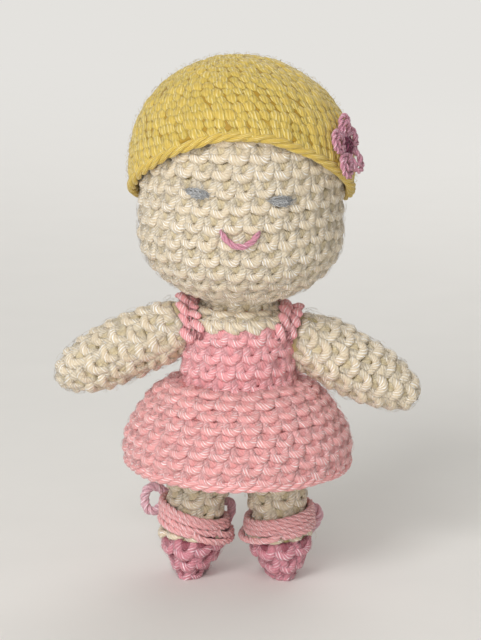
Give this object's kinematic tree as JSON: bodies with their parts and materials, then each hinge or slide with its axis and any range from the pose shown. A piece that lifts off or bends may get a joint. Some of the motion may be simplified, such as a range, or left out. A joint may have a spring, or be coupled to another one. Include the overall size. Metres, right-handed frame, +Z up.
{
  "type": "crocheted ballerina doll",
  "caption": "Stuffed crocheted ballerina doll with a close cap, flared skirt and ribbon-tied slippers; head, arms and legs turn",
  "frame": {"origin": "On the floor, at the centre of the doll's bounding box, midway between the feet", "axes": "+Z up; the doll faces -Y; +X is the doll's own left, the side of the flower"},
  "size_m": [0.0884, 0.0554, 0.1291],
  "materials": {
    "cream_yarn": "soft, slightly glossy yarn",
    "pink_yarn": "soft, slightly glossy yarn",
    "rose_yarn": "soft, slightly glossy yarn",
    "yellow_yarn": "soft, slightly glossy yarn",
    "mauve_yarn": "soft, slightly glossy yarn",
    "dusty_pink_yarn": "soft, slightly glossy yarn",
    "blue_grey_yarn": "soft, slightly glossy yarn",
    "stuffing": "matt white fibre filling",
    "sewing_thread": "thin cream sewing yarn"
  },
  "bodies": {
    "torso": {"bodice": "pink_yarn", "yoke": "cream_yarn", "torso_stuffing": "stuffing", "skirt": "pink_yarn", "skirt_hem": "pink_yarn", "left_strap": "pink_yarn", "right_strap": "pink_yarn"},
    "neck": {"neck_thread": "sewing_thread"},
    "head": {"head_shell": "cream_yarn", "head_stuffing": "stuffing", "cap": "yellow_yarn", "cap_edge": "yellow_yarn", "hair_flower": "mauve_yarn", "left_eye": "blue_grey_yarn", "right_eye": "blue_grey_yarn", "mouth": "mauve_yarn"},
    "left_shoulder": {"left_shoulder_thread": "sewing_thread"},
    "left_arm": {"left_arm": "cream_yarn", "left_arm_stuffing": "stuffing"},
    "right_shoulder": {"right_shoulder_thread": "sewing_thread"},
    "right_arm": {"right_arm": "cream_yarn", "right_arm_stuffing": "stuffing"},
    "left_hip": {"left_hip_thread": "sewing_thread"},
    "left_leg": {"left_leg": "cream_yarn", "left_leg_stuffing": "stuffing", "left_slipper": "rose_yarn", "left_ribbon": "pink_yarn", "left_bow": "dusty_pink_yarn"},
    "right_hip": {"right_hip_thread": "sewing_thread"},
    "right_leg": {"right_leg": "cream_yarn", "right_leg_stuffing": "stuffing", "right_slipper": "rose_yarn", "right_ribbon": "pink_yarn", "right_bow": "dusty_pink_yarn"}
  },
  "joints": [
    {"name": "head_turn", "type": "hinge", "parent": "torso", "child": "neck", "pos_m": [0, 0, 0.07], "axis": [0, 0, 1], "range_deg": [-30, 30]},
    {"name": "head_nod", "type": "hinge", "parent": "neck", "child": "head", "pos_m": [0, 0, 0.07], "axis": [1, 0, 0], "range_deg": [-9, 9]},
    {"name": "left_arm_swing", "type": "hinge", "parent": "torso", "child": "left_shoulder", "pos_m": [0.0157, 0, 0.059], "axis": [0, 0, -1], "range_deg": [-18, 18]},
    {"name": "left_arm_raise", "type": "hinge", "parent": "left_shoulder", "child": "left_arm", "pos_m": [0.0157, 0, 0.059], "axis": [0, -1, 0], "range_deg": [-2, 40]},
    {"name": "right_arm_swing", "type": "hinge", "parent": "torso", "child": "right_shoulder", "pos_m": [-0.0157, 0, 0.0614], "axis": [0, 0, 1], "range_deg": [-18, 18]},
    {"name": "right_arm_raise", "type": "hinge", "parent": "right_shoulder", "child": "right_arm", "pos_m": [-0.0157, 0, 0.0614], "axis": [0, 1, 0], "range_deg": [-2, 40]},
    {"name": "left_leg_spread", "type": "hinge", "parent": "torso", "child": "left_hip", "pos_m": [0.0084, 0, 0.037], "axis": [0, -1, 0], "range_deg": [0, 8]},
    {"name": "left_leg_swing", "type": "hinge", "parent": "left_hip", "child": "left_leg", "pos_m": [0.0084, 0, 0.037], "axis": [-1, 0, 0], "range_deg": [-15, 32]},
    {"name": "right_leg_spread", "type": "hinge", "parent": "torso", "child": "right_hip", "pos_m": [-0.0084, 0, 0.037], "axis": [0, 1, 0], "range_deg": [0, 8]},
    {"name": "right_leg_swing", "type": "hinge", "parent": "right_hip", "child": "right_leg", "pos_m": [-0.0084, 0, 0.037], "axis": [-1, 0, 0], "range_deg": [-15, 32]}
  ]
}
